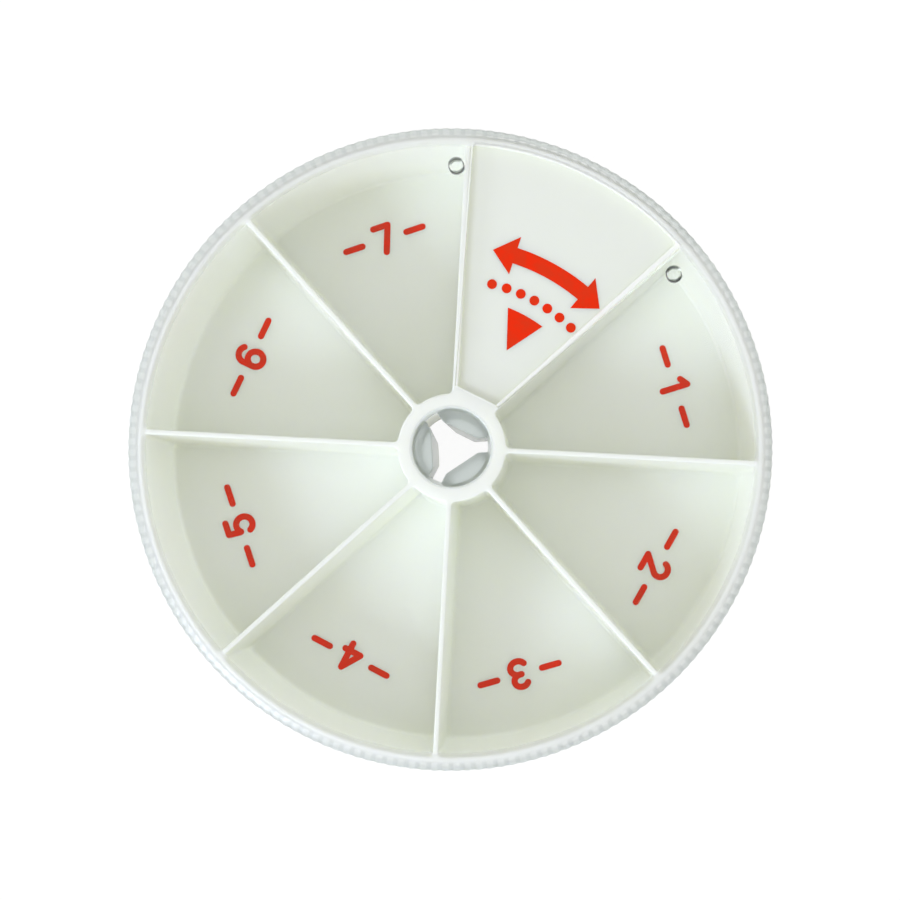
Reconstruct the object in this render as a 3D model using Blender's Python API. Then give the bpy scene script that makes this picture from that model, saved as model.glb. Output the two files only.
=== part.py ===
# Round weekly pill organizer: a white tray with seven pill compartments and one closed sector,
# and a clear lid with a wedge window that turns on the tray and snaps into its hub.
# Units are metres. The origin is the middle of the underside, +Z is up.

from math import asin, cos, pi, radians, sin, sqrt, tan

import bmesh
import bpy
from mathutils import Vector

# Tray
SECTOR_COUNT = 8
CLOSED_SECTOR = 1                # sectors count anticlockwise from +X, and this one has a plate
COMPARTMENT_RADIUS = 0.0431      # inside of the outer wall, at its top
COMPARTMENT_DEPTH = 0.0163
FLOOR_THICKNESS = 0.0012
TRAY_WALL = 0.00065
DIVIDER_THICKNESS = 0.00070      # at the top, where it is thinnest
DRAFT_ANGLE = 1.0                # degrees, on every face that leaves the mould upright
CORNER_RADIUS = 0.0007           # upright corners of a compartment
FLOOR_FILLET = 0.0004
TRAY_TOP_ROUND = 0.00018
FOOT_HEIGHT = 0.0004
FOOT_WIDTH = 0.0022
FOOT_CHAMFER = 0.0005
PLATE_RECESS = 0.0010            # plate of the closed sector, below the divider tops
PLATE_THICKNESS = 0.0012
HOLLOW_WALL = 0.0010             # round the hollow that is open below the plate
HUB_LAND = 0.0004                # between the hub and the straight inner end of the plate

# Hub and the three-prong snap that turns in it
BORE_RADIUS = 0.00545
BORE_CHAMFER = 0.0003
HUB_WALL = 0.0013                # round the pocket that the hooks turn in
PRONG_COUNT = 3
PRONG_THICKNESS = 0.0024         # from the flat inner face to the round outer face
PRONG_LENGTH = 0.0150            # below the disc of the lid
PRONG_CLEARANCE = 0.00035
PRONG_CORNER = 0.0008
PRONG_DRAFT_ANGLE = 2.0          # degrees, of a prong's sides
PRONG_STEP_DOWN = 0.00015        # top of the prongs, below the top of the disc
ROOT_FLARE = 0.0004              # swelling of a prong where it meets the disc
SLOT_WIDTH = 0.0020              # between two prongs, at the disc, where it is narrowest
HOOK_CATCH = 0.0005              # reach of a hook past the bore
HOOK_CLEARANCE = 0.00035
HOOK_LAND = 0.0004
HOOK_LEAD_IN = 0.0011
HOOK_SLOPE = 0.0003
HOOK_NOSE = 0.0002               # nose of a hook, inside the prong's round face

# Lid
PIP_HEIGHT = 0.0003              # detent pips under the disc
PIP_RADIUS = 0.00115
PIP_GAP = 0.0003                 # between the pips and the divider tops
PIP_INSET = 0.00335              # from the window's outer arc to a pip's middle
PIP_OFFSET = 0.0021              # from the window's side to a pip's middle
PIP_SINK = 0.0004                # how deep a pip's solid reaches up into the disc
PIP_DOME_SHARES = (0.45, 0.8, 1) # rings of a pip's dome, as shares of its radius
LID_THICKNESS = 0.0010
LID_EDGE_ROUND = 0.0009          # height of the lid's rounded shoulder
LID_EDGE_REACH = 0.0021          # and its width
SKIRT_CLEARANCE = 0.0004
SKIRT_WALL = 0.0007
SKIRT_LENGTH = 0.0135
RIB_COUNT = 180
RIB_DEPTH = 0.00015
RIB_CREST = 0.0003               # flat width of a rib's crest
WINDOW_RIM = 0.00025             # rim of the window inside the compartment wall
WINDOW_CORNER = 0.0006
PARK_ANGLE = 66.5                # degrees, the middle of the window at rest

# Facets
ARC_STEP = 3.0                   # degrees
CORNER_STEPS = 3
PIP_STEPS = 20
FLOOR_FILLET_STEPS = 2
LID_EDGE_STEPS = 3
SMOOTH_ANGLE = 30.0              # degrees, the sharpest edge that is shaded smooth
OVERRUN = 0.0010                 # how far a cutter runs past a face

TRAY_COLOUR = (0.86, 0.88, 0.85, 1.0)
LID_COLOUR = (0.90, 0.93, 0.92, 1.0)

# Sizes that follow from the ones above
sector_angle = 2 * pi / SECTOR_COUNT
draft = tan(radians(DRAFT_ANGLE))
prong_draft = tan(radians(PRONG_DRAFT_ANGLE))
floor_z = FOOT_HEIGHT + FLOOR_THICKNESS
tray_top = floor_z + COMPARTMENT_DEPTH
plate_z = tray_top - PLATE_RECESS
tray_radius = COMPARTMENT_RADIUS + TRAY_WALL
foot_radius = tray_radius - draft * tray_top
hook_radius = BORE_RADIUS + HOOK_CATCH
hook_pocket_radius = hook_radius + HOOK_CLEARANCE
hub_radius = hook_pocket_radius + HUB_WALL
chord_distance = hub_radius + HUB_LAND
lid_under = tray_top + PIP_HEIGHT + PIP_GAP
lid_top = lid_under + LID_THICKNESS
skirt_inner = tray_radius + SKIRT_CLEARANCE
skirt_outer = skirt_inner + SKIRT_WALL
lid_radius = skirt_outer + RIB_DEPTH
skirt_bottom = lid_top - SKIRT_LENGTH
window_outer = COMPARTMENT_RADIUS - WINDOW_RIM
prong_radius = BORE_RADIUS - PRONG_CLEARANCE
prong_bottom = lid_under - PRONG_LENGTH
hook_top = prong_bottom + HOOK_LEAD_IN + HOOK_LAND + HOOK_SLOPE
hook_ledge = hook_top + HOOK_CLEARANCE


def principled(name, colour, roughness, transmission=0.0):
    material = bpy.data.materials.new(name)
    material.use_nodes = True
    shader = material.node_tree.nodes["Principled BSDF"]
    shader.inputs["Base Color"].default_value = colour
    shader.inputs["Roughness"].default_value = roughness
    shader.inputs["Metallic"].default_value = 0.0
    shader.inputs["Transmission Weight"].default_value = transmission
    return material


def polar(radius, angle):
    return (radius * cos(angle), radius * sin(angle))


def arc(centre, radius, start, end, steps):
    """Points along a circle, both ends included."""
    turns = [start + (end - start) * i / steps for i in range(steps + 1)]
    return [(centre[0] + radius * cos(t), centre[1] + radius * sin(t)) for t in turns]


def arc_steps(angle):
    return max(2, round(abs(angle) / radians(ARC_STEP)))


def new_object(name, mesh_build, is_cutter=False):
    """An object from a bmesh, with its faces pointing out."""
    bmesh.ops.recalc_face_normals(mesh_build, faces=mesh_build.faces)
    mesh = bpy.data.meshes.new(name)
    mesh_build.to_mesh(mesh)
    mesh_build.free()
    made = bpy.data.objects.new(name, mesh)
    bpy.context.scene.collection.objects.link(made)
    if is_cutter:
        made.hide_render = True
        made.display_type = 'WIRE'
    return made


def add_loft(mesh_build, loops):
    """A closed body through loops of equal length, each a list of 3-D points, low to high."""
    rings = [[mesh_build.verts.new(point) for point in loop] for loop in loops]
    for low, high in zip(rings, rings[1:]):
        for i in range(len(low)):
            following = (i + 1) % len(low)
            mesh_build.faces.new((low[i], low[following], high[following], high[i]))
    mesh_build.faces.new(reversed(rings[0]))
    mesh_build.faces.new(rings[-1])


def add_turned(mesh_build, profile, steps):
    """A ring-shaped body: a closed profile of (radius, height) points turned about Z."""
    rings = []
    for step in range(steps):
        turn = 2 * pi * step / steps
        rings.append([mesh_build.verts.new((*polar(r, turn), z)) for r, z in profile])
    for step in range(steps):
        ring = rings[step]
        next_ring = rings[(step + 1) % steps]
        for i in range(len(profile)):
            following = (i + 1) % len(profile)
            mesh_build.faces.new((ring[i], next_ring[i], next_ring[following], ring[following]))


def boolean(target, other, operation):
    modifier = target.modifiers.new(other.name, 'BOOLEAN')
    modifier.operation = operation
    modifier.object = other
    modifier.solver = 'EXACT'


# Sector outlines

def outer_corner(side, offset, radius, corner, turn_sign):
    """Rounded corner between a side face and the outer arc, from the side to the arc.

    side is the side's angle, offset its distance from the radial line at that angle,
    and turn_sign is 1 where the sector lies anticlockwise of the side.
    """
    centre_turn = side + turn_sign * asin((offset + corner) / (radius - corner))
    centre = polar(radius - corner, centre_turn)
    return arc(centre, corner, side - turn_sign * pi / 2, centre_turn, CORNER_STEPS)


def inner_corner(side, offset, radius, corner, turn_sign):
    """Rounded corner between the hub's arc and a side face, from the arc to the side."""
    centre_turn = side + turn_sign * asin((offset + corner) / (radius + corner))
    centre = polar(radius + corner, centre_turn)
    start = centre_turn + turn_sign * pi
    end = side + turn_sign * 3 * pi / 2
    return arc(centre, corner, start, end, CORNER_STEPS)


def sector_outline(first, last, offset, inner, outer, corner):
    """Outline of a compartment between two dividers, with an arc at the hub and at the wall."""
    end_turns = [asin((offset + corner) / (outer - corner)), asin((offset + corner) / (inner + corner))]
    wall = arc((0, 0), outer, first + end_turns[0], last - end_turns[0],
               arc_steps(last - first))[1:-1]
    hub = arc((0, 0), inner, last - end_turns[1], first + end_turns[1],
              arc_steps(last - first) // 2)[1:-1]
    points = outer_corner(first, offset, outer, corner, 1)
    points += wall
    points += reversed(outer_corner(last, offset, outer, corner, -1))
    points += reversed(inner_corner(last, offset, inner, corner, -1))
    points += hub
    points += inner_corner(first, offset, inner, corner, 1)
    return points


def wedge_outline(middle, half_angle, offset, chord, outer, corner):
    """Outline of a wedge whose inner end is straight: its sides, its chord and its outer arc."""
    first = middle - half_angle
    last = middle + half_angle
    end_turn = asin((offset + corner) / (outer - corner))
    points = outer_corner(first, offset, outer, corner, 1)
    points += arc((0, 0), outer, first + end_turn, last - end_turn, arc_steps(last - first))[1:-1]
    points += reversed(outer_corner(last, offset, outer, corner, -1))
    half_chord = (chord - offset / sin(half_angle)) * tan(half_angle)
    for across in (half_chord, -half_chord):
        along = Vector(polar(chord, middle))
        points.append(tuple(along + across * Vector(polar(1, middle + pi / 2))))
    return points


def at_height(outline, z):
    return [(x, y, z) for x, y in outline]


# Tray

def tray_profile():
    """Half section of the solid tray before its compartments are cut, anticlockwise."""
    wall_low = foot_radius + draft * FOOT_CHAMFER
    foot_inner = foot_radius - FOOT_WIDTH
    return [
        (hook_pocket_radius, FOOT_HEIGHT),
        (foot_inner, FOOT_HEIGHT),
        (foot_inner, 0),
        (foot_radius - FOOT_CHAMFER, 0),
        (wall_low, FOOT_CHAMFER),
        (tray_radius, tray_top - TRAY_TOP_ROUND),
        (tray_radius - TRAY_TOP_ROUND, tray_top),
        (BORE_RADIUS + BORE_CHAMFER, tray_top),
        (BORE_RADIUS, tray_top - BORE_CHAMFER),
        (BORE_RADIUS, hook_ledge),
        (hook_pocket_radius, hook_ledge),
    ]


def compartment_cutters():
    """The seven compartments: drafted sides and a small fillet all round the floor."""
    build = bmesh.new()
    half = DIVIDER_THICKNESS / 2
    levels = []
    for i in range(FLOOR_FILLET_STEPS + 1):
        turn = pi / 2 * i / FLOOR_FILLET_STEPS
        levels.append((floor_z + FLOOR_FILLET * (1 - cos(turn)), FLOOR_FILLET * (1 - sin(turn))))
    levels.append((tray_top + OVERRUN, 0))
    for sector in range(SECTOR_COUNT):
        if sector == CLOSED_SECTOR:
            continue
        first = sector * sector_angle
        loops = []
        for z, fillet_inset in levels:
            inset = draft * (tray_top - z) + fillet_inset
            outline = sector_outline(first, first + sector_angle, half + inset,
                                     hub_radius + inset, COMPARTMENT_RADIUS - inset, CORNER_RADIUS)
            loops.append(at_height(outline, z))
        add_loft(build, loops)
    return new_object("compartments_cut", build, is_cutter=True)


def plate_recess_cutter():
    """The shallow recess that sinks the plate below the dividers beside it."""
    build = bmesh.new()
    middle = (CLOSED_SECTOR + 1 / 2) * sector_angle
    loops = []
    for z in (plate_z, tray_top + OVERRUN):
        inset = draft * (tray_top - z)
        outline = wedge_outline(middle, sector_angle / 2, DIVIDER_THICKNESS / 2 + inset,
                                chord_distance + inset, COMPARTMENT_RADIUS - inset, CORNER_RADIUS)
        loops.append(at_height(outline, z))
    add_loft(build, loops)
    return new_object("plate_recess_cut", build, is_cutter=True)


def hollow_cutter():
    """The space below the plate, open at the bottom, with its draft the other way up."""
    build = bmesh.new()
    first = CLOSED_SECTOR * sector_angle
    ceiling = plate_z - PLATE_THICKNESS
    base_half = DIVIDER_THICKNESS / 2 + draft * tray_top
    loops = []
    for z in (-OVERRUN, ceiling):
        side = HOLLOW_WALL - base_half + draft * z
        rise = draft * (z + tray_top)
        outline = sector_outline(first, first + sector_angle, side,
                                 hub_radius + rise, foot_radius - HOLLOW_WALL - draft * z,
                                 CORNER_RADIUS)
        loops.append(at_height(outline, z))
    add_loft(build, loops)
    return new_object("hollow_cut", build, is_cutter=True)


def make_tray():
    build = bmesh.new()
    add_turned(build, tray_profile(), arc_steps(2 * pi))
    tray = new_object("tray", build)
    for cutter in (compartment_cutters(), plate_recess_cutter(), hollow_cutter()):
        boolean(tray, cutter, 'DIFFERENCE')
    tray.data.materials.append(principled("tray_white", TRAY_COLOUR, 0.35))
    return tray


# Lid

def ribbed_loop(crest, root, z):
    """Two crest points and two root points for each rib, so that its sides slope."""
    pitch = 2 * pi / RIB_COUNT
    half_crest = RIB_CREST / 2 / lid_radius
    points = []
    for rib in range(RIB_COUNT):
        middle = rib * pitch
        points.append((*polar(crest, middle - half_crest), z))
        points.append((*polar(crest, middle + half_crest), z))
        points.append((*polar(root, middle + pitch / 2), z))
    return points


def lid_blank():
    """The outside of the lid as one solid: the ribs fade out over the rounded shoulder."""
    build = bmesh.new()
    loops = [ribbed_loop(lid_radius, skirt_outer, skirt_bottom)]
    for i in range(LID_EDGE_STEPS + 1):
        turn = pi / 2 * i / LID_EDGE_STEPS
        root = skirt_outer - LID_EDGE_REACH * (1 - cos(turn))
        z = lid_top - LID_EDGE_ROUND * (1 - sin(turn))
        loops.append(ribbed_loop(root + RIB_DEPTH * cos(turn), root, z))
    add_loft(build, loops)
    return new_object("lid", build)


def inside_cutter():
    """What the lid leaves free for the tray, below its disc."""
    build = bmesh.new()
    steps = arc_steps(2 * pi)
    circle = arc((0, 0), skirt_inner, 0, 2 * pi, steps)[:-1]
    add_loft(build, [at_height(circle, skirt_bottom - OVERRUN), at_height(circle, lid_under)])
    return new_object("lid_inside_cut", build, is_cutter=True)


def window_cutter():
    """The wedge window, as wide as one sector, parked over the closed sector."""
    build = bmesh.new()
    outline = wedge_outline(radians(PARK_ANGLE), sector_angle / 2, 0, chord_distance,
                            window_outer, WINDOW_CORNER)
    add_loft(build, [at_height(outline, lid_under - OVERRUN), at_height(outline, lid_top + OVERRUN)])
    return new_object("window_cut", build, is_cutter=True)


def hub_hole_cutter():
    """The round hole in the disc that the prongs stand in."""
    build = bmesh.new()
    circle = arc((0, 0), prong_radius, 0, 2 * pi, arc_steps(2 * pi) // 2)[:-1]
    add_loft(build, [at_height(circle, lid_under - OVERRUN), at_height(circle, lid_top + OVERRUN)])
    return new_object("hub_hole_cut", build, is_cutter=True)


def prong_outline(radius, z):
    """Section of a prong along +X: round outside, flat inside, its sides along the slots."""
    slot_turn = pi / PRONG_COUNT
    half_slot = SLOT_WIDTH / 2 + prong_draft * max(0, lid_under - z)
    flat = prong_radius - PRONG_THICKNESS
    outer_turn = slot_turn - asin(half_slot / radius)
    points = arc((0, 0), radius, -outer_turn, outer_turn, arc_steps(slot_turn))
    half_flat = (flat * sin(slot_turn) - half_slot) / cos(slot_turn)
    setback = PRONG_CORNER * tan((pi / 2 - slot_turn) / 2)
    centre_x = flat + PRONG_CORNER
    centre_y = half_flat - setback
    upper = arc((centre_x, centre_y), PRONG_CORNER, pi / 2 + slot_turn, pi, CORNER_STEPS)
    lower = [(x, -y) for x, y in reversed(upper)]
    return points + upper + lower


def turned_about_z(outline, angle, z):
    points = []
    for x, y in outline:
        points.append((x * cos(angle) - y * sin(angle), x * sin(angle) + y * cos(angle), z))
    return points


def prongs():
    """Three prongs: a flared root in the disc, a leg, and a hook with a lead-in."""
    build = bmesh.new()
    hook_land_low = prong_bottom + HOOK_LEAD_IN
    levels = [
        (prong_bottom, prong_radius - HOOK_NOSE),
        (hook_land_low, hook_radius),
        (hook_land_low + HOOK_LAND, hook_radius),
        (hook_top, prong_radius),
        (lid_under - ROOT_FLARE, prong_radius),
        (lid_under + ROOT_FLARE / 2, prong_radius + ROOT_FLARE),
        (lid_top - PRONG_STEP_DOWN, prong_radius + ROOT_FLARE),
    ]
    for prong in range(PRONG_COUNT):
        angle = radians(PARK_ANGLE) + 2 * pi * prong / PRONG_COUNT
        add_loft(build, [turned_about_z(prong_outline(radius, z), angle, z) for z, radius in levels])
    return new_object("prongs_join", build, is_cutter=True)


def pips():
    """Two low domes under the disc, one beside each side of the window."""
    build = bmesh.new()
    ring_radius = window_outer - PIP_INSET
    turn = sector_angle / 2 + asin(PIP_OFFSET / ring_radius)
    for side in (-1, 1):
        centre = polar(ring_radius, radians(PARK_ANGLE) + side * turn)
        loops = []
        for share in PIP_DOME_SHARES:
            height = PIP_HEIGHT * sqrt(1 - share * share)
            circle = arc(centre, PIP_RADIUS * share, 0, 2 * pi, PIP_STEPS)[:-1]
            loops.append(at_height(circle, lid_under - height))
        loops.append(at_height(circle, lid_under + PIP_SINK))
        add_loft(build, loops)
    return new_object("pips_join", build, is_cutter=True)


def make_lid():
    lid = lid_blank()
    for cutter in (inside_cutter(), window_cutter(), hub_hole_cutter()):
        boolean(lid, cutter, 'DIFFERENCE')
    for piece in (prongs(), pips()):
        boolean(lid, piece, 'UNION')
    lid.data.materials.append(principled("lid_clear", LID_COLOUR, 0.08, transmission=1.0))
    return lid


def shade_smooth(made):
    """Round faces smooth, with the sharper edges kept."""
    made.data.shade_smooth()
    made.data.set_sharp_from_angle(angle=radians(SMOOTH_ANGLE))


def main():
    for old in list(bpy.data.objects):
        bpy.data.objects.remove(old, do_unlink=True)
    for made in (make_tray(), make_lid()):
        shade_smooth(made)


main()
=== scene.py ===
# A round weekly pill organizer seen from above: white compartment tray, clear turning lid, red numbers.
from math import asin, atan2, cos, pi, radians, sin, tan

import bmesh
import bpy
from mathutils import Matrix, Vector


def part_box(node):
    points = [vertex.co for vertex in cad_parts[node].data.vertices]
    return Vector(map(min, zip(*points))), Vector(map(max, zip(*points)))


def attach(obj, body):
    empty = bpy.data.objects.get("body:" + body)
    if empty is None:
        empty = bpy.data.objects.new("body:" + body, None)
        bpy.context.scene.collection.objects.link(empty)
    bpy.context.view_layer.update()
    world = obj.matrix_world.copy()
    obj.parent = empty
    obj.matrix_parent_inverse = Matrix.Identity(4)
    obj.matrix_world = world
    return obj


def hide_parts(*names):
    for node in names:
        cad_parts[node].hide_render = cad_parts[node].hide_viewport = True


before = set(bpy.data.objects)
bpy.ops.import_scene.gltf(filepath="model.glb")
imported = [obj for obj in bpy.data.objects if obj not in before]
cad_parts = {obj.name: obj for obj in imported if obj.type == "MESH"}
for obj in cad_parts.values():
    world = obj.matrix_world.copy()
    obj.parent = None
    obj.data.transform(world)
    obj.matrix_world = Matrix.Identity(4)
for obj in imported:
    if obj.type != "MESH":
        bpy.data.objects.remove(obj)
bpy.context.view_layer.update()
print("frame loaded")

scene = bpy.context.scene
scene.view_settings.view_transform = "Standard"
scene.cycles.max_bounces = 24           # white walls and clear skirt lead light on by many reflections
scene.cycles.diffuse_bounces = 8
scene.cycles.glossy_bounces = 16
scene.cycles.transmission_bounces = 16
scene.cycles.transparent_max_bounces = 16

# What the tray and the lid share, in metres. Their overall sizes are read from the frame.
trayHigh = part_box("tray")[1]
lidLow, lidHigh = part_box("lid")
trayRadius, trayTop = trayHigh[0], trayHigh[2]
lidRadius, lidTop, prongBottom = lidHigh[0], lidHigh[2], lidLow[2]
shared = {
    "sectors": 8,
    "closedSector": 1,              # counted anticlockwise from +X
    "draft": tan(radians(1.0)),     # of every face that leaves the mould upright
    "hub": 0.0076,                  # its radius
    "straightEnd": 0.0080,          # from the axis to the inner end of the plate and of the window
    "overrun": 0.0010,              # how far a cutter runs past a face
    "arcStep": radians(2.0),
    "roundSteps": 4,
    "sharpAngle": radians(40.0),
    "faceWeight": 100,              # how much the large faces lead the shading
}
sectorAngle = 2 * pi / shared["sectors"]
closedMiddle = (shared["closedSector"] + 1 / 2) * sectorAngle


# Camera, fitted to the dividers, the floor ring and the outline of the photograph
camera = {
    "place": (0.011613, -0.011951, 0.225128),
    "turn": (1.85, -0.95, 2.944),   # degrees
    "lens": 59.12,
    "shift": (-0.1163, 0.0437),
    "clipStart": 0.01,
}


def makeCamera():
    data = bpy.data.cameras.new("camera")
    data.lens = camera["lens"]
    data.shift_x, data.shift_y = camera["shift"]
    data.clip_start = camera["clipStart"]
    made = bpy.data.objects.new("camera", data)
    made.location = camera["place"]
    made.rotation_euler = [radians(turn) for turn in camera["turn"]]
    scene.collection.objects.link(made)
    scene.camera = made


makeCamera()
print("camera placed")


# Outlines and loops
def polar(radius, angle):
    return (radius * cos(angle), radius * sin(angle))


def arc(centre, radius, start, end, steps):
    turns = [start + (end - start) * i / steps for i in range(steps + 1)]
    return [(centre[0] + radius * cos(t), centre[1] + radius * sin(t)) for t in turns]


def circle(centre, radius, steps):
    return arc(centre, radius, 0, 2 * pi, steps)[:-1]


def arcSteps(angle):
    return max(2, round(abs(angle) / shared["arcStep"]))


def atHeight(outline, z):
    return [(x, y, z) for x, y in outline]


def turned(outline, angle):
    return [(x * cos(angle) - y * sin(angle), x * sin(angle) + y * cos(angle)) for x, y in outline]


def quarter(steps):
    # sine and cosine over a quarter turn, for fillets and rounded edges
    return [(sin(pi / 2 * i / steps), cos(pi / 2 * i / steps)) for i in range(steps + 1)]


def outerCorner(side, offset, radius, corner, sign):
    # from the side face to the outer arc; sign is 1 where the sector lies anticlockwise of the side
    turn = side + sign * asin((offset + corner) / (radius - corner))
    return arc(polar(radius - corner, turn), corner, side - sign * pi / 2, turn, shared["roundSteps"])


def innerCorner(side, offset, radius, corner, sign):
    # from the hub's arc to the side face
    turn = side + sign * asin((offset + corner) / (radius + corner))
    centre = polar(radius + corner, turn)
    return arc(centre, corner, turn + sign * pi, side + sign * 3 * pi / 2, shared["roundSteps"])


def sectorOutline(first, last, offset, inner, outer, corner):
    outerTurn = asin((offset + corner) / (outer - corner))
    innerTurn = asin((offset + corner) / (inner + corner))
    steps = arcSteps(last - first)
    wall = arc((0, 0), outer, first + outerTurn, last - outerTurn, steps)[1:-1]
    hub = arc((0, 0), inner, last - innerTurn, first + innerTurn, steps // 2)[1:-1]
    points = outerCorner(first, offset, outer, corner, 1) + wall
    points += reversed(outerCorner(last, offset, outer, corner, -1))
    points += reversed(innerCorner(last, offset, inner, corner, -1))
    return points + hub + innerCorner(first, offset, inner, corner, 1)


def wedgeOutline(middle, offset, chord, outer, corner):
    # a wedge one sector wide, whose inner end is straight
    half = sectorAngle / 2
    first, last = middle - half, middle + half
    turn = asin((offset + corner) / (outer - corner))
    points = outerCorner(first, offset, outer, corner, 1)
    points += arc((0, 0), outer, first + turn, last - turn, arcSteps(sectorAngle))[1:-1]
    points += reversed(outerCorner(last, offset, outer, corner, -1))
    across = (chord - offset / sin(half)) * tan(half)
    return points + turned([(chord, across), (chord, -across)], middle)


# Meshes
def newObject(name, build):
    bmesh.ops.recalc_face_normals(build, faces=build.faces)
    mesh = bpy.data.meshes.new(name)
    build.to_mesh(mesh)
    build.free()
    made = bpy.data.objects.new(name, mesh)
    scene.collection.objects.link(made)
    return made


def addLoft(build, loops):
    # a closed body through loops of equal length
    rings = [[build.verts.new(point) for point in loop] for loop in loops]
    for low, high in zip(rings, rings[1:]):
        for i in range(len(low)):
            following = (i + 1) % len(low)
            build.faces.new((low[i], low[following], high[following], high[i]))
    build.faces.new(list(reversed(rings[0])))
    build.faces.new(rings[-1])


def addTurned(build, profile, steps):
    # a closed profile of (radius, height) points turned about Z
    rings = []
    for step in range(steps):
        turn = 2 * pi * step / steps
        rings.append([build.verts.new((*polar(radius, turn), z)) for radius, z in profile])
    for ring, nextRing in zip(rings, rings[1:] + rings[:1]):
        for i in range(len(profile)):
            following = (i + 1) % len(profile)
            build.faces.new((ring[i], nextRing[i], nextRing[following], ring[following]))


def applyModifiers(made):
    bpy.context.view_layer.update()
    shaped = bpy.data.meshes.new_from_object(made.evaluated_get(bpy.context.evaluated_depsgraph_get()))
    made.modifiers.clear()
    made.data = shaped


def combine(target, others, operation):
    for other in others:
        modifier = target.modifiers.new(other.name, "BOOLEAN")
        modifier.operation = operation
        modifier.object = other
        modifier.solver = "EXACT"
    applyModifiers(target)
    for other in others:
        bpy.data.objects.remove(other, do_unlink=True)


def softShading(made):
    made.data.shade_smooth()
    made.data.set_sharp_from_angle(angle=shared["sharpAngle"])
    modifier = made.modifiers.new("faceWeights", "WEIGHTED_NORMAL")
    modifier.keep_sharp = True
    modifier.weight = shared["faceWeight"]


# Tray
tray = {
    "floor": 0.0016, "compartment": 0.0431, "divider": 0.0007, "corner": 0.0007,
    "floorFillet": 0.0006, "rimRound": 0.0002, "plateFillet": 0.0002,
    "foot": 0.0004, "footWidth": 0.0022, "footRound": 0.0003,
    "plateRecess": 0.0010, "plateThickness": 0.0012, "hollowWall": 0.0010, "hollowFillet": 0.0005,
    "bore": 0.00545, "boreRound": 0.0003, "hookPocket": 0.0063, "hookLedge": 0.00565,
}
plateHeight = trayTop - tray["plateRecess"]
footRadius = trayRadius - shared["draft"] * trayTop


def trayBlank():
    steps = shared["roundSteps"]
    foot, soft = tray["footRound"], tray["rimRound"]
    footInner = footRadius - tray["footWidth"]
    profile = [(tray["hookPocket"], tray["foot"]), (footInner, tray["foot"])]
    profile += arc((footInner + foot, foot), foot, pi, 3 * pi / 2, steps)
    profile += arc((footRadius - foot, foot), foot, 3 * pi / 2, 2 * pi, steps)
    profile += arc((trayRadius - soft, trayTop - soft), soft, 0, pi / 2, steps)
    bore, boreRound = tray["bore"], tray["boreRound"]
    profile += arc((bore + boreRound, trayTop - boreRound), boreRound, pi / 2, pi, steps)
    profile += [(bore, tray["hookLedge"]), (tray["hookPocket"], tray["hookLedge"])]
    build = bmesh.new()
    addTurned(build, profile, arcSteps(2 * pi))
    return newObject("trayShell", build)


def recessLevels(low, fillet):
    # height and inset from a recess's floor fillet up to the rounded edge at the tray's top
    soft = tray["rimRound"]
    levels = [(low + fillet * (1 - c), fillet * (1 - s)) for s, c in quarter(shared["roundSteps"])]
    levels += [(trayTop - soft * (1 - s), -soft * (1 - c)) for s, c in quarter(shared["roundSteps"])]
    levels.append((trayTop + shared["overrun"], -soft))
    return [(z, inset + max(0, shared["draft"] * (trayTop - z))) for z, inset in levels]


def compartmentCutter():
    build = bmesh.new()
    half = tray["divider"] / 2
    for sector in range(shared["sectors"]):
        if sector == shared["closedSector"]:
            continue
        first = sector * sectorAngle
        loops = []
        for z, inset in recessLevels(tray["floor"], tray["floorFillet"]):
            outline = sectorOutline(first, first + sectorAngle, half + inset, shared["hub"] + inset,
                                    tray["compartment"] - inset, tray["corner"])
            loops.append(atHeight(outline, z))
        addLoft(build, loops)
    return newObject("compartmentCutter", build)


def plateCutter():
    build = bmesh.new()
    loops = []
    for z, inset in recessLevels(plateHeight, tray["plateFillet"]):
        outline = wedgeOutline(closedMiddle, tray["divider"] / 2 + inset, shared["straightEnd"] + inset,
                               tray["compartment"] - inset, tray["corner"])
        loops.append(atHeight(outline, z))
    addLoft(build, loops)
    return newObject("plateCutter", build)


def hollowCutter():
    # the space below the plate, open underneath, drafted the other way up
    build = bmesh.new()
    draft, fillet = shared["draft"], tray["hollowFillet"]
    first = shared["closedSector"] * sectorAngle
    ceiling = plateHeight - tray["plateThickness"]
    levels = [(-shared["overrun"], 0)]
    levels += [(ceiling - fillet * (1 - s), fillet * (1 - c)) for s, c in quarter(shared["roundSteps"])]
    loops = []
    for z, inset in levels:
        side = tray["hollowWall"] - tray["divider"] / 2 - draft * (trayTop - z) + inset
        outline = sectorOutline(first, first + sectorAngle, side,
                                shared["hub"] + draft * (z + trayTop) + inset,
                                footRadius - tray["hollowWall"] - draft * z - inset, tray["corner"])
        loops.append(atHeight(outline, z))
    addLoft(build, loops)
    return newObject("hollowCutter", build)


trayShell = trayBlank()
combine(trayShell, [compartmentCutter(), plateCutter(), hollowCutter()], "DIFFERENCE")
softShading(trayShell)
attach(trayShell, "tray")
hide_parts("tray")
print("tray moulded:", len(trayShell.data.polygons), "faces")


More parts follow.
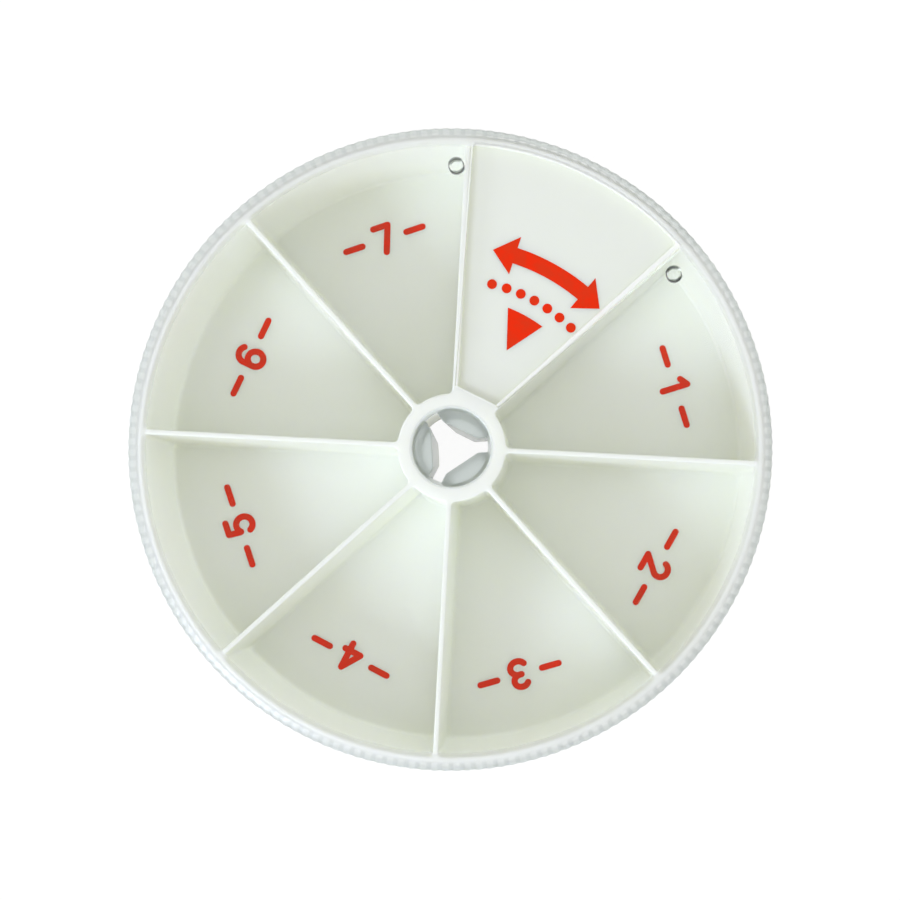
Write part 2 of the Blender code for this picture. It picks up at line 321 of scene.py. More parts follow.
# Lid
lid = {
    "thickness": 0.0010, "skirtGap": 0.0004, "skirtLength": 0.0135,
    "edgeRound": 0.0009, "edgeReach": 0.0021, "shoulderSteps": 12, "lipRound": 0.0002, "insideFillet": 0.0003,
    "ribs": 180, "ribPoints": 8, "ribDepth": 0.0001,
    "parkAngle": radians(66.5), "windowOuter": 0.04285, "windowCorner": 0.0006, "windowSoft": 0.00024,
    "pipRadius": 0.00115, "pipHeight": 0.0004, "pipFlat": 0.00083, "pipEdge": 0.00006,
    "pipInset": 0.00335, "pipOffset": 0.0021, "pipSink": 0.0004, "pipSteps": 32,
    "prongs": 3, "prongRadius": 0.0051, "prongThickness": 0.0024, "prongDraft": tan(radians(2.0)),
    "prongCorner": 0.0008, "prongStepDown": 0.00015, "prongTopRound": 0.00012, "rootFlare": 0.0004,
    "slot": 0.0020, "hookRadius": 0.00595, "hookLeadIn": 0.0011, "hookLand": 0.0004,
    "hookSlope": 0.0003, "hookNose": 0.0002,
}
lidUnder = lidTop - lid["thickness"]
skirtInner = trayRadius + lid["skirtGap"]
ribRoot = lidRadius - lid["ribDepth"]
skirtBottom = lidTop - lid["skirtLength"]


def ribbedLoop(root, depth, z):
    # shallow rounded ribs, a crest at each whole pitch
    pitch = 2 * pi / lid["ribs"]
    count = lid["ribs"] * lid["ribPoints"]
    points = []
    for i in range(count):
        turn = 2 * pi * i / count
        crest = (1 + cos(2 * pi * turn / pitch)) / 2
        points.append((*polar(root + depth * crest, turn), z))
    return points


def lidBlank():
    # ribs run up the skirt and fade out over the rounded shoulder
    build = bmesh.new()
    lip, edge, reach, depth = lid["lipRound"], lid["edgeRound"], lid["edgeReach"], lid["ribDepth"]
    loops = []
    for s, c in quarter(shared["roundSteps"]):
        loops.append(ribbedLoop(ribRoot - lip * (1 - s), depth, skirtBottom + lip * (1 - c)))
    for s, c in quarter(lid["shoulderSteps"]):
        loops.append(ribbedLoop(ribRoot - reach * (1 - c), depth * c, lidTop - edge * (1 - s)))
    addLoft(build, loops)
    return newObject("lidShell", build)


def insideCutter():
    # what the lid leaves free for the tray
    build = bmesh.new()
    fillet = lid["insideFillet"]
    ring = circle((0, 0), skirtInner, arcSteps(2 * pi))
    loops = [atHeight(ring, skirtBottom - shared["overrun"])]
    for s, c in quarter(shared["roundSteps"]):
        ring = circle((0, 0), skirtInner - fillet * (1 - c), arcSteps(2 * pi))
        loops.append(atHeight(ring, lidUnder - fillet * (1 - s)))
    addLoft(build, loops)
    return newObject("insideCutter", build)


def windowCutter():
    # the wedge window, one sector wide, with softened edges above and below
    build = bmesh.new()
    soft = lid["windowSoft"]
    levels = [(lidUnder - shared["overrun"], soft)]
    levels += [(lidUnder + soft * (1 - c), soft * (1 - s)) for s, c in quarter(shared["roundSteps"])]
    levels += [(lidTop - soft * (1 - s), soft * (1 - c)) for s, c in quarter(shared["roundSteps"])]
    levels.append((lidTop + shared["overrun"], soft))
    loops = []
    for z, outset in levels:
        outline = wedgeOutline(lid["parkAngle"], -outset, shared["straightEnd"] - outset,
                               lid["windowOuter"] + outset, lid["windowCorner"])
        loops.append(atHeight(outline, z))
    addLoft(build, loops)
    return newObject("windowCutter", build)


def hubHoleCutter():
    build = bmesh.new()
    ring = circle((0, 0), lid["prongRadius"], arcSteps(2 * pi) // 2)
    overrun = shared["overrun"]
    addLoft(build, [atHeight(ring, lidUnder - overrun), atHeight(ring, lidTop + overrun)])
    return newObject("hubHoleCutter", build)


def prongOutline(radius, inset, z):
    # section of a prong along +X: round outside, flat inside, its sides along the slots
    slotTurn = pi / lid["prongs"]
    halfSlot = lid["slot"] / 2 + inset + lid["prongDraft"] * max(0, lidUnder - z)
    flat = lid["prongRadius"] - lid["prongThickness"] + inset
    outerTurn = slotTurn - asin(halfSlot / (radius - inset))
    points = arc((0, 0), radius - inset, -outerTurn, outerTurn, arcSteps(slotTurn))
    corner = lid["prongCorner"]
    cornerY = (flat * sin(slotTurn) - halfSlot) / cos(slotTurn) - corner * tan((pi / 2 - slotTurn) / 2)
    upper = arc((flat + corner, cornerY), corner, pi / 2 + slotTurn, pi, shared["roundSteps"])
    return points + upper + [(x, -y) for x, y in reversed(upper)]


def prongPieces():
    # flared root in the disc, straight leg, and a hook with a lead-in
    build = bmesh.new()
    radius, flare, soft = lid["prongRadius"], lid["rootFlare"], lid["prongTopRound"]
    landLow = prongBottom + lid["hookLeadIn"]
    landHigh = landLow + lid["hookLand"]
    top = lidTop - lid["prongStepDown"]
    levels = [(prongBottom + soft * (1 - c), radius - lid["hookNose"], soft * (1 - s))
              for s, c in quarter(shared["roundSteps"])]
    levels += [(landLow, lid["hookRadius"], 0), (landHigh, lid["hookRadius"], 0),
               (landHigh + lid["hookSlope"], radius, 0)]
    levels += [(lidUnder - flare * (1 - s), radius + flare * (1 - c), 0)
               for s, c in quarter(shared["roundSteps"])]
    levels += [(top - soft * (1 - s), radius + flare, soft * (1 - c))
               for s, c in quarter(shared["roundSteps"])]
    for prong in range(lid["prongs"]):
        angle = lid["parkAngle"] + 2 * pi * prong / lid["prongs"]
        addLoft(build, [atHeight(turned(prongOutline(r, inset, z), angle), z) for z, r, inset in levels])
    return newObject("prongPieces", build)


def pipCentres():
    # one beside each side of the window
    ringRadius = lid["windowOuter"] - lid["pipInset"]
    turn = sectorAngle / 2 + asin(lid["pipOffset"] / ringRadius)
    return [polar(ringRadius, lid["parkAngle"] + side * turn) for side in (-1, 1)]


def pipPieces():
    # a low flat pip with sloping sides
    build = bmesh.new()
    for centre in pipCentres():
        levels = [(lid["pipFlat"] - lid["pipEdge"], lidUnder - lid["pipHeight"]),
                  (lid["pipFlat"], lidUnder - lid["pipHeight"] + lid["pipEdge"] / 3),
                  (lid["pipRadius"], lidUnder), (lid["pipRadius"], lidUnder + lid["pipSink"])]
        loops = [atHeight(circle(centre, radius, lid["pipSteps"]), z) for radius, z in levels]
        addLoft(build, loops)
    return newObject("pipPieces", build)


lidShell = lidBlank()
combine(lidShell, [insideCutter(), windowCutter(), hubHoleCutter()], "DIFFERENCE")
combine(lidShell, [prongPieces(), pipPieces()], "UNION")
softShading(lidShell)
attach(lidShell, "lid")
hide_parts("lid")
print("lid moulded:", len(lidShell.data.polygons), "faces")


# Print: plain numbers on the floors, and a turning arrow above seven dots on the plate
ink = {"thickness": 0.00002, "proud": 0.00001}
numbers = {
    "radius": 0.03445, "stroke": 0.00095, "top": 4.1, "curveStep": 12, "roundStep": radians(20.0),
    "places": {1: 20.3, 2: 333.3, 3: 288.8, 4: 245.3, 5: 201.3, 6: 157.8, 7: 111.8},  # degrees
    "dash": 0.0026, "dashPlace": 0.0048,
}


def inkObject(name, build):
    made = newObject(name, build)
    made.data.shade_flat()
    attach(made, "tray")
    return made


def addPrint(build, outline, height):
    # a closed thin body whose upper face stands just proud of the plastic
    low = height + ink["proud"] - ink["thickness"]
    addLoft(build, [atHeight(outline, low), atHeight(outline, height + ink["proud"])])


def bow(centre, reach, start, end):
    # part of an ellipse, its angles in degrees
    steps = max(2, round(abs(end - start) / numbers["curveStep"]))
    turns = [radians(start + (end - start) * i / steps) for i in range(steps + 1)]
    return [(centre[0] + reach[0] * cos(t), centre[1] + reach[1] * sin(t)) for t in turns]


# Middle lines of the digits, in strokes' widths
digitStrokes = {
    1: [[(-0.9, 3.25), (0.2, 4.1), (0.2, 0)]],
    2: [bow((0, 2.95), (1.2, 1.15), 165, -35) + [(-1.2, 0), (1.25, 0)]],
    3: [bow((0, 3.12), (1.1, 0.98), 150, -90) + [(-0.3, 2.14)], bow((0, 1.08), (1.25, 1.08), 80, -150)],
    4: [[(0.6, 4.1), (-1.3, 1.2), (1.35, 1.2)], [(0.6, 3.9), (0.6, 0)]],
    5: [[(1.05, 4.1), (-0.85, 4.1), (-1.0, 2.2)], bow((0, 1.3), (1.25, 1.3), 140, -150)],
    6: [bow((0.05, 2.9), (1.25, 1.2), 40, 180) + bow((0, 1.25), (1.2, 1.25), 180, 270),
        bow((0, 1.25), (1.2, 1.25), -90, 150)],
    7: [[(-1.2, 4.1), (1.2, 4.1), (-0.3, 0)]],
}


def strokeOutline(path, half):
    # once round a middle line at half a stroke's distance, with round ends and round outer corners
    loop = path + path[-2:0:-1]
    points = []
    for i, (x, y) in enumerate(loop):
        before, after = loop[i - 1], loop[(i + 1) % len(loop)]
        heading = atan2(y - before[1], x - before[0])
        turn = (atan2(after[1] - y, after[0] - x) - heading + 3 * pi / 4) % (2 * pi) - 3 * pi / 4
        if turn > numbers["roundStep"]:
            points += arc((x, y), half, heading - pi / 2, heading + turn - pi / 2,
                          round(turn / numbers["roundStep"]))
        else:
            side, reach = heading + (turn - pi) / 2, half / cos(turn / 2)
            points.append((x + reach * cos(side), y + reach * sin(side)))
    return points


def digitMesh(digit):
    # its strokes are joined at unit size, where the union is exact
    pieces = []
    for stroke in digitStrokes[digit]:
        build = bmesh.new()
        outline = strokeOutline(stroke, 1 / 2)
        addLoft(build, [atHeight(outline, -1 / 2), atHeight(outline, 1 / 2)])
        pieces.append(newObject("stroke", build))
    if len(pieces) > 1:
        combine(pieces[0], pieces[1:], "UNION")
    mesh = pieces[0].data
    bpy.data.objects.remove(pieces[0], do_unlink=True)
    return mesh


def makeNumber(digit, degrees):
    # the digit stands on the floor with its top outward, between two short dashes
    mesh = digitMesh(digit)
    stroke = numbers["stroke"]
    place = polar(numbers["radius"], radians(degrees))
    turn = radians(degrees) - pi / 2
    for vert in mesh.vertices:
        x, y = turned([(vert.co.x * stroke, (vert.co.y - numbers["top"] / 2) * stroke)], turn)[0]
        z = tray["floor"] + ink["proud"] + (vert.co.z - 1 / 2) * ink["thickness"]
        vert.co = (place[0] + x, place[1] + y, z)
    build = bmesh.new()
    build.from_mesh(mesh)
    for side in (-1, 1):
        middle = side * numbers["dashPlace"]
        half = numbers["dash"] / 2
        dash = strokeOutline([(middle - half, 0), (middle + half, 0)], stroke / 2)
        addPrint(build, [(place[0] + x, place[1] + y) for x, y in turned(dash, turn)], tray["floor"])
    return inkObject(f"number{digit}", build)


sign = {
    "middle": radians(64.0), "radius": 0.0287, "width": 0.0023, "sweep": radians(11.0),
    "headWidth": 0.0056, "headSweep": radians(6.5),
    "dots": 7, "dotPlace": 0.0239, "dotPitch": 0.00215, "dotRadius": 0.0007, "dotSteps": 28,
    "wedgeTip": 0.0158, "wedgeEnd": 0.0214, "wedgeHalf": radians(7.5),
}


def makeSign():
    build = bmesh.new()
    inner, outer = sign["radius"] - sign["width"] / 2, sign["radius"] + sign["width"] / 2
    headInner, headOuter = sign["radius"] - sign["headWidth"] / 2, sign["radius"] + sign["headWidth"] / 2
    low, high = sign["middle"] - sign["sweep"], sign["middle"] + sign["sweep"]
    steps = 2 * arcSteps(2 * sign["sweep"])
    outline = arc((0, 0), outer, low, high, steps)
    outline += [polar(headOuter, high), polar(sign["radius"], high + sign["headSweep"]),
                polar(headInner, high)]
    outline += arc((0, 0), inner, high, low, steps)
    outline += [polar(headInner, low), polar(sign["radius"], low - sign["headSweep"]),
                polar(headOuter, low)]
    addPrint(build, outline, plateHeight)
    for i in range(sign["dots"]):
        turn = sign["middle"] + (i - (sign["dots"] - 1) / 2) * sign["dotPitch"] / sign["dotPlace"]
        dot = circle(polar(sign["dotPlace"], turn), sign["dotRadius"], sign["dotSteps"])
        addPrint(build, dot, plateHeight)
    low, high = sign["middle"] - sign["wedgeHalf"], sign["middle"] + sign["wedgeHalf"]
    wedge = arc((0, 0), sign["wedgeEnd"], low, high, steps) + [polar(sign["wedgeTip"], sign["middle"])]
    addPrint(build, wedge, plateHeight)
    return inkObject("turnSign", build)


inkPieces = [makeNumber(digit, degrees) for digit, degrees in numbers["places"].items()]
inkPieces.append(makeSign())
print("numbers and sign printed")


# Nodes
def feed(tree, socket, value):
    # a socket takes either a link or a plain value
    if isinstance(value, bpy.types.NodeSocket):
        tree.links.new(value, socket)
    else:
        socket.default_value = value


def mathNode(tree, operation, *values):
    node = tree.nodes.new("ShaderNodeMath")
    node.operation = operation
    for socket, value in zip(node.inputs, values):
        feed(tree, socket, value)
    return node.outputs["Value"]


def vectorNode(tree, operation, *values):
    node = tree.nodes.new("ShaderNodeVectorMath")
    node.operation = operation
    for socket, value in zip(node.inputs, values):
        feed(tree, socket, value)
    return node.outputs["Value" if operation in ("LENGTH", "DOT_PRODUCT") else "Vector"]


def scaleNode(tree, vector, scale):
    node = tree.nodes.new("ShaderNodeVectorMath")
    node.operation = "SCALE"
    feed(tree, node.inputs["Vector"], vector)
    feed(tree, node.inputs["Scale"], scale)
    return node.outputs["Vector"]


def splitNode(tree, vector):
    node = tree.nodes.new("ShaderNodeSeparateXYZ")
    tree.links.new(vector, node.inputs["Vector"])
    return node.outputs


def noiseNode(tree, vector, scale, detail):
    node = tree.nodes.new("ShaderNodeTexNoise")
    tree.links.new(vector, node.inputs["Vector"])
    feed(tree, node.inputs["Scale"], scale)
    node.inputs["Detail"].default_value = detail
    return node.outputs["Fac"]


def rampNode(tree, value, span, falling=False):
    # softly from 0 to 1 over the span, or from 1 to 0
    node = tree.nodes.new("ShaderNodeMapRange")
    node.interpolation_type = "SMOOTHSTEP"
    tree.links.new(value, node.inputs["Value"])
    node.inputs["From Min"].default_value, node.inputs["From Max"].default_value = span
    node.inputs["To Min"].default_value = 1.0 if falling else 0.0
    node.inputs["To Max"].default_value = 0.0 if falling else 1.0
    return node.outputs["Result"]


def mixColour(tree, factor, first, second):
    node = tree.nodes.new("ShaderNodeMix")
    node.data_type = "RGBA"
    tree.links.new(factor, node.inputs["Factor"])
    for label, colour in (("A", first), ("B", second)):
        plain = not isinstance(colour, bpy.types.NodeSocket)
        feed(tree, node.inputs[label], (*colour, 1) if plain else colour)
    return node.outputs["Result"]


def flatPlace(tree, position):
    # seen from straight above: from the lid's axis outward
    return vectorNode(tree, "MULTIPLY", position, (1, 1, 0))


# Surface effects that several materials use
effects = {
    "patchSpan": (0.35, 0.65), "patchDetail": 3.0, "grainDetail": 4.0,
    "rubSpan": (0.58, 0.70), "rubDetail": 2.0, "rubSpread": 1.3,
    "scratchSpan": (0.70, 0.76), "scratchDetail": 1.0,
    "scratchTurns": (0.4, 1.7, 2.6), "scratchStretch": 0.03,
}


def newGroup(name, scales, masks):
    # takes a position and the scales, and puts out masks
    group = bpy.data.node_groups.new(name, "ShaderNodeTree")
    group.interface.new_socket("Position", in_out="INPUT", socket_type="NodeSocketVector")
    for label in scales:
        group.interface.new_socket(label, in_out="INPUT", socket_type="NodeSocketFloat")
    for label in masks:
        group.interface.new_socket(label, in_out="OUTPUT", socket_type="NodeSocketFloat")
    return group, group.nodes.new("NodeGroupInput").outputs, group.nodes.new("NodeGroupOutput").inputs


def mouldedSkinGroup():
    # slow patches of tone from the melt's flow, and the fine grain of the mould's polish
    group, start, end = newGroup("mouldedSkin", ("Patch Scale", "Grain Scale"), ("Patches", "Grain"))
    patches = noiseNode(group, start["Position"], start["Patch Scale"], effects["patchDetail"])
    group.links.new(rampNode(group, patches, effects["patchSpan"]), end["Patches"])
    grain = noiseNode(group, start["Position"], start["Grain Scale"], effects["grainDetail"])
    group.links.new(grain, end["Grain"])
    return group


def fineScratchGroup():
    # circular rubs about the hub from turning, and straighter scratches from handling
    group, start, end = newGroup("fineScratches", ("Ring Scale", "Scratch Scale"), ("Rubs", "Scratches"))
    flat = flatPlace(group, start["Position"])
    radius = vectorNode(group, "LENGTH", flat)
    around = scaleNode(group, vectorNode(group, "NORMALIZE", flat), effects["rubSpread"])
    across = group.nodes.new("ShaderNodeCombineXYZ")
    group.links.new(mathNode(group, "MULTIPLY", radius, start["Ring Scale"]), across.inputs["Z"])
    ringPlace = vectorNode(group, "ADD", around, across.outputs["Vector"])
    rings = noiseNode(group, ringPlace, 1.0, effects["rubDetail"])
    group.links.new(rampNode(group, rings, effects["rubSpan"]), end["Rubs"])
    scaled = scaleNode(group, start["Position"], start["Scratch Scale"])
    mask = None
    for turn in effects["scratchTurns"]:
        stretch = group.nodes.new("ShaderNodeMapping")
        stretch.inputs["Rotation"].default_value = (0, 0, turn)
        stretch.inputs["Scale"].default_value = (effects["scratchStretch"], 1, 1)
        group.links.new(scaled, stretch.inputs["Vector"])
        lines = noiseNode(group, stretch.outputs["Vector"], 1.0, effects["scratchDetail"])
        lines = rampNode(group, lines, effects["scratchSpan"])
        mask = lines if mask is None else mathNode(group, "MAXIMUM", mask, lines)
    group.links.new(mask, end["Scratches"])
    return group


mouldedSkin = mouldedSkinGroup()
fineScratches = fineScratchGroup()


def placeGroup(tree, group, position, scales):
    node = tree.nodes.new("ShaderNodeGroup")
    node.node_tree = group
    tree.links.new(position, node.inputs["Position"])
    for label, value in scales.items():
        node.inputs[label].default_value = value
    return node.outputs


def placeSkin(tree, position, look):
    scales = {"Patch Scale": look["patchScale"], "Grain Scale": look["grainScale"]}
    return placeGroup(tree, mouldedSkin, position, scales)


def placeScratches(tree, position, look):
    scales = {"Ring Scale": look["ringScale"], "Scratch Scale": look["scratchScale"]}
    return placeGroup(tree, fineScratches, position, scales)


def newMaterial(name):
    made = bpy.data.materials.new(name)
    made.use_nodes = True
    return made, made.node_tree, made.node_tree.nodes["Principled BSDF"]


def objectPlace(tree):
    return tree.nodes.new("ShaderNodeTexCoord").outputs["Object"]


def roughnessNode(tree, mask, look):
    smooth, rough = look["roughness"]
    return mathNode(tree, "MULTIPLY_ADD", mask, rough - smooth, smooth)


def grainNormal(tree, skin, look):
    node = tree.nodes.new("ShaderNodeBump")
    node.inputs["Distance"].default_value = look["grainDepth"]
    node.inputs["Strength"].default_value = look["grainStrength"]
    tree.links.new(skin["Grain"], node.inputs["Height"])
    return node.outputs["Normal"]


def dress(piece, made):
    piece.data.materials.clear()
    piece.data.materials.append(made)


# The tray's white plastic
trayLook = {
    "clear": (0.934, 0.950, 0.876), "deep": (0.919, 0.937, 0.853), "patchScale": 70.0,
    "roughness": (0.34, 0.46), "ringScale": 900.0, "scratchScale": 900.0, "ior": 1.49,
    "grainScale": 1800.0, "grainDepth": 0.00002, "grainStrength": 0.25,
    "glow": 0.75, "glowReach": (1.0, 1.0, 0.85), "glowScale": 0.002,
    # plate is painted shade on the closed sector, darker than the rest of the tray
    "plate": (0.807, 0.832, 0.742), "plateSide": 0.001, "plateSunk": 0.0003,
}


def plateShadeMask(tree, position):
    # painted shade: the closed sector's plate, and all below it, are painted darker, as thin plastic round a
    # dark space sends back less light
    direction = vectorNode(tree, "NORMALIZE", flatPlace(tree, position))
    along = vectorNode(tree, "DOT_PRODUCT", direction, (*polar(1, closedMiddle), 0))
    edge = cos(sectorAngle / 2)
    inside = rampNode(tree, along, (edge, edge + trayLook["plateSide"]))
    height = splitNode(tree, position)["Z"]
    sunk = rampNode(tree, height, (plateHeight, plateHeight + trayLook["plateSunk"]), falling=True)
    return mathNode(tree, "MULTIPLY", inside, sunk)


def trayMaterial():
    made, tree, shader = newMaterial("trayWhite")
    position = objectPlace(tree)
    skin = placeSkin(tree, position, trayLook)
    marks = placeScratches(tree, position, trayLook)
    colour = mixColour(tree, skin["Patches"], trayLook["clear"], trayLook["deep"])
    # painted shade on the closed sector's plate and the walls below it
    colour = mixColour(tree, plateShadeMask(tree, position), colour, trayLook["plate"])
    tree.links.new(colour, shader.inputs["Base Color"])
    tree.links.new(roughnessNode(tree, marks["Scratches"], trayLook), shader.inputs["Roughness"])
    tree.links.new(grainNormal(tree, skin, trayLook), shader.inputs["Normal"])
    shader.inputs["IOR"].default_value = trayLook["ior"]
    shader.inputs["Subsurface Weight"].default_value = trayLook["glow"]    # thin walls let light through
    shader.inputs["Subsurface Radius"].default_value = trayLook["glowReach"]
    shader.inputs["Subsurface Scale"].default_value = trayLook["glowScale"]
    return made


# The lid's clear plastic. The spans of satin, hub, band and ribs are distances from the lid's axis.
lidLook = {
    "tint": (0.978, 0.990, 0.980), "patchScale": 90.0, "ringScale": 1400.0, "scratchScale": 700.0,
    "roughness": (0.015, 0.06), "ior": 1.49,
    "grainScale": 600.0, "grainDepth": 0.00001, "grainStrength": 0.12,
    "satin": 0.28, "satinSpan": (0.0412, 0.0426),              # the rim and the hub are less polished
    # painted shade in the clear plastic's colour: a darker hub and prongs, a band over the tray's edge, rib
    # valleys and crescents beside the pips
    "hubShade": (0.80, 0.83, 0.82), "hubSpan": (0.0056, 0.0060),
    "bandShade": (0.86, 0.87, 0.86), "bandStart": (0.0423, 0.0429), "bandEnd": (0.0436, 0.0440),
    "ribShade": (0.82, 0.84, 0.83), "ribSpan": (0.0436, 0.0440), "valleySpan": (-0.8, 0.4),
    "pipShade": (0.20, 0.21, 0.20), "pipTurn": radians(111.0),
    "pipSpan": (0.00035, 0.00075), "pipSoft": 0.00012,
    "absorbed": (0.0130, 0.0100, 0.0108), "density": 1000,     # what each millimetre of plastic takes
    "passed": (1.0, 0.996, 0.992), "edgePassed": 0.6,          # of the light on its way to the tray
    "levelSpan": (0.5, 0.9),       # upward part of a normal, from the window's cut edge to the flat disc
    "lettingOut": 9.5,             # bounces after which light trapped in the disc goes straight on
}


def ribValleyShade(tree, flat, radius):
    # painted shade: the valleys between the ribs are darker than the crests
    place = splitNode(tree, flat)
    turn = mathNode(tree, "ARCTAN2", place["Y"], place["X"])
    wave = mathNode(tree, "COSINE", mathNode(tree, "MULTIPLY", turn, lid["ribs"]))
    valleys = rampNode(tree, wave, lidLook["valleySpan"], falling=True)
    return mathNode(tree, "MULTIPLY", valleys, rampNode(tree, radius, lidLook["ribSpan"]))


def edgeShadeBand(tree, radius):
    # painted shade over the tray's edge, where the lid's inner fillet turns the view aside
    start = rampNode(tree, radius, lidLook["bandStart"])
    return mathNode(tree, "MULTIPLY", start, rampNode(tree, radius, lidLook["bandEnd"], falling=True))


def pipShadeCrescents(tree, flat):
    # painted shade: gray crescents on two sides of each pip, where its slopes turn the view aside
    mask = None
    soft = lidLook["pipSoft"]
    for x, y in pipCentres():
        offset = vectorNode(tree, "SUBTRACT", flat, (x, y, 0))
        distance = vectorNode(tree, "LENGTH", offset)
        inner = rampNode(tree, distance, (lid["pipFlat"] - soft, lid["pipFlat"]))
        outer = rampNode(tree, distance, (lid["pipRadius"], lid["pipRadius"] + soft), falling=True)
        along = vectorNode(tree, "DOT_PRODUCT", offset, (*polar(1, lidLook["pipTurn"]), 0))
        sides = rampNode(tree, mathNode(tree, "ABSOLUTE", along), lidLook["pipSpan"])
        ring = mathNode(tree, "MULTIPLY", mathNode(tree, "MULTIPLY", inner, outer), sides)
        mask = ring if mask is None else mathNode(tree, "MAXIMUM", mask, ring)
    return mask


def straightThrough(tree, ends):
    # lets light pass unbent; the window's cut edge dims it
    upright = splitNode(tree, tree.nodes.new("ShaderNodeNewGeometry").outputs["True Normal"])["Z"]
    level = rampNode(tree, mathNode(tree, "ABSOLUTE", upright), lidLook["levelSpan"])
    clear = mathNode(tree, "MAXIMUM", level, ends)
    dimmed = [share * lidLook["edgePassed"] for share in lidLook["passed"]]
    through = tree.nodes.new("ShaderNodeBsdfTransparent")
    tree.links.new(mixColour(tree, clear, dimmed, lidLook["passed"]), through.inputs["Color"])
    return through.outputs["BSDF"]


def passingRays(tree):
    # light reaches the tray once, straight through the lid, and isn't trapped in the disc
    path = tree.nodes.new("ShaderNodeLightPath").outputs
    lighting = mathNode(tree, "MAXIMUM", path["Is Shadow Ray"], path["Is Diffuse Ray"])
    trapped = mathNode(tree, "GREATER_THAN", path["Ray Depth"], lidLook["lettingOut"])
    return mathNode(tree, "MAXIMUM", lighting, trapped)


def lidMaterial():
    made, tree, shader = newMaterial("lidClear")
    position = objectPlace(tree)
    skin = placeSkin(tree, position, lidLook)
    marks = placeScratches(tree, position, lidLook)
    flat = flatPlace(tree, position)
    radius = vectorNode(tree, "LENGTH", flat)
    hub = rampNode(tree, radius, lidLook["hubSpan"], falling=True)
    ends = mathNode(tree, "MAXIMUM", rampNode(tree, radius, lidLook["satinSpan"]), hub)

    # painted shade: darker hub and prongs, a band over the tray's edge, rib valleys and crescents beside the
    # pips
    colour = mixColour(tree, hub, lidLook["tint"], lidLook["hubShade"])
    colour = mixColour(tree, edgeShadeBand(tree, radius), colour, lidLook["bandShade"])
    colour = mixColour(tree, ribValleyShade(tree, flat, radius), colour, lidLook["ribShade"])
    colour = mixColour(tree, pipShadeCrescents(tree, flat), colour, lidLook["pipShade"])
    tree.links.new(colour, shader.inputs["Base Color"])
    worn = roughnessNode(tree, mathNode(tree, "MAXIMUM", marks["Scratches"], marks["Rubs"]), lidLook)
    satin = mathNode(tree, "MULTIPLY", ends, lidLook["satin"])
    tree.links.new(mathNode(tree, "MAXIMUM", worn, satin), shader.inputs["Roughness"])
    tree.links.new(grainNormal(tree, skin, lidLook), shader.inputs["Normal"])
    shader.inputs["IOR"].default_value = lidLook["ior"]
    shader.inputs["Transmission Weight"].default_value = 1.0

    mix = tree.nodes.new("ShaderNodeMixShader")
    tree.links.new(passingRays(tree), mix.inputs["Fac"])
    tree.links.new(shader.outputs["BSDF"], mix.inputs[1])
    tree.links.new(straightThrough(tree, ends), mix.inputs[2])
    output = tree.nodes["Material Output"]
    tree.links.new(mix.outputs["Shader"], output.inputs["Surface"])
    # long ways through the prongs and the skirt look gray
    depth = tree.nodes.new("ShaderNodeVolumeAbsorption")
    depth.inputs["Density"].default_value = lidLook["density"]
    depth.inputs["Color"].default_value = (*[1 - share for share in lidLook["absorbed"]], 1)
    tree.links.new(depth.outputs["Volume"], output.inputs["Volume"])
    return made


# The red ink
inkLook = {
    "full": (0.80, 0.026, 0.003), "thin": (0.70, 0.034, 0.007), "patchScale": 500.0,
    "roughness": (0.5, 0.65), "gloss": 0.05,
    "grainScale": 2500.0, "grainDepth": 0.00001, "grainStrength": 0.2,
}


def inkMaterial():
    made, tree, shader = newMaterial("redInk")
    position = objectPlace(tree)
    skin = placeSkin(tree, position, inkLook)
    colour = mixColour(tree, skin["Patches"], inkLook["full"], inkLook["thin"])
    tree.links.new(colour, shader.inputs["Base Color"])
    tree.links.new(roughnessNode(tree, skin["Grain"], inkLook), shader.inputs["Roughness"])
    tree.links.new(grainNormal(tree, skin, inkLook), shader.inputs["Normal"])
    shader.inputs["Specular IOR Level"].default_value = inkLook["gloss"]
    return made


dress(trayShell, trayMaterial())
dress(lidShell, lidMaterial())
redInk = inkMaterial()
for piece in inkPieces:
    dress(piece, redInk)
print("materials made")


# Floor, white to the camera and through the lid, but with the object's shadow kept
floorLook = {
    "size": 3.0, "colour": (0.80, 0.80, 0.80), "roughness": 0.9,
    "shown": 0.93, "kept": (0.10, 0.10, 0.10),     # of white where it is lit, and what the shadow takes off
}


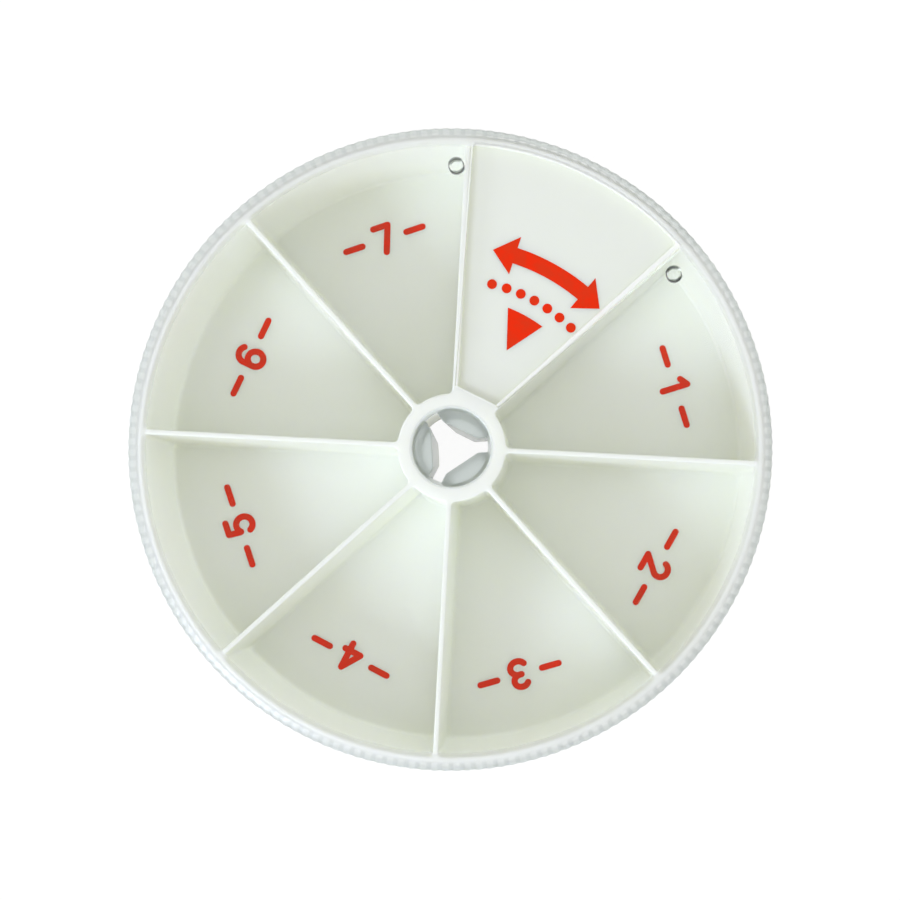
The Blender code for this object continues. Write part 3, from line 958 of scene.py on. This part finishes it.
def makeFloor():
    build = bmesh.new()
    bmesh.ops.create_grid(build, x_segments=1, y_segments=1, size=floorLook["size"])
    floor = newObject("floor", build)
    made, tree, shader = newMaterial("floorWhite")
    shader.inputs["Base Color"].default_value = (*floorLook["colour"], 1)
    shader.inputs["Roughness"].default_value = floorLook["roughness"]
    glow = tree.nodes.new("ShaderNodeEmission")
    glow.inputs["Strength"].default_value = floorLook["shown"]
    shadow = tree.nodes.new("ShaderNodeBsdfDiffuse")
    shadow.inputs["Color"].default_value = (*floorLook["kept"], 1)
    both = tree.nodes.new("ShaderNodeAddShader")
    tree.links.new(glow.outputs["Emission"], both.inputs[0])
    tree.links.new(shadow.outputs["BSDF"], both.inputs[1])
    path = tree.nodes.new("ShaderNodeLightPath").outputs
    seen = path["Is Camera Ray"]
    for ray in ("Is Glossy Ray", "Is Transmission Ray"):
        seen = mathNode(tree, "MAXIMUM", seen, path[ray])
    mix = tree.nodes.new("ShaderNodeMixShader")
    tree.links.new(seen, mix.inputs["Fac"])
    tree.links.new(shader.outputs["BSDF"], mix.inputs[1])
    tree.links.new(both.outputs["Shader"], mix.inputs[2])
    tree.links.new(mix.outputs["Shader"], tree.nodes["Material Output"].inputs["Surface"])
    dress(floor, made)


makeFloor()


# Light: a softbox low on the left, in a white studio that is brighter on that side and straight above
light = {
    "place": (-0.62, -0.64, 0.62), "size": 0.4, "power": 5.4, "colour": (0.90, 1.0, 1.20),
    "litSide": (0.86, 0.86, 0.86), "farSide": (0.76, 0.76, 0.76), "sideSpan": (-1, 1),
    "above": (1.30, 1.30, 1.30), "aboveSpan": (0.945, 0.965),
    "mirrored": (0.20, 0.20, 0.20),    # what glossy faces mirror from above, where the camera stands
}


def makeSoftbox():
    data = bpy.data.lights.new("softbox", "AREA")
    data.size = light["size"]
    data.energy = light["power"]
    data.color = light["colour"]
    made = bpy.data.objects.new("softbox", data)
    made.location = light["place"]
    made.rotation_euler = (-Vector(light["place"])).to_track_quat("-Z", "Y").to_euler()
    scene.collection.objects.link(made)


def makeStudio():
    world = bpy.data.worlds.new("studio")
    world.use_nodes = True
    tree = world.node_tree
    place = splitNode(tree, tree.nodes.new("ShaderNodeTexCoord").outputs["Generated"])
    side = rampNode(tree, mathNode(tree, "ADD", place["X"], place["Y"]), light["sideSpan"])
    walls = mixColour(tree, side, light["litSide"], light["farSide"])
    mirrors = tree.nodes.new("ShaderNodeLightPath").outputs["Is Glossy Ray"]
    above = mixColour(tree, mirrors, light["above"], light["mirrored"])
    height = rampNode(tree, place["Z"], light["aboveSpan"])
    tree.links.new(mixColour(tree, height, walls, above), tree.nodes["Background"].inputs["Color"])
    scene.world = world


makeSoftbox()
makeStudio()
print("floor and light set")
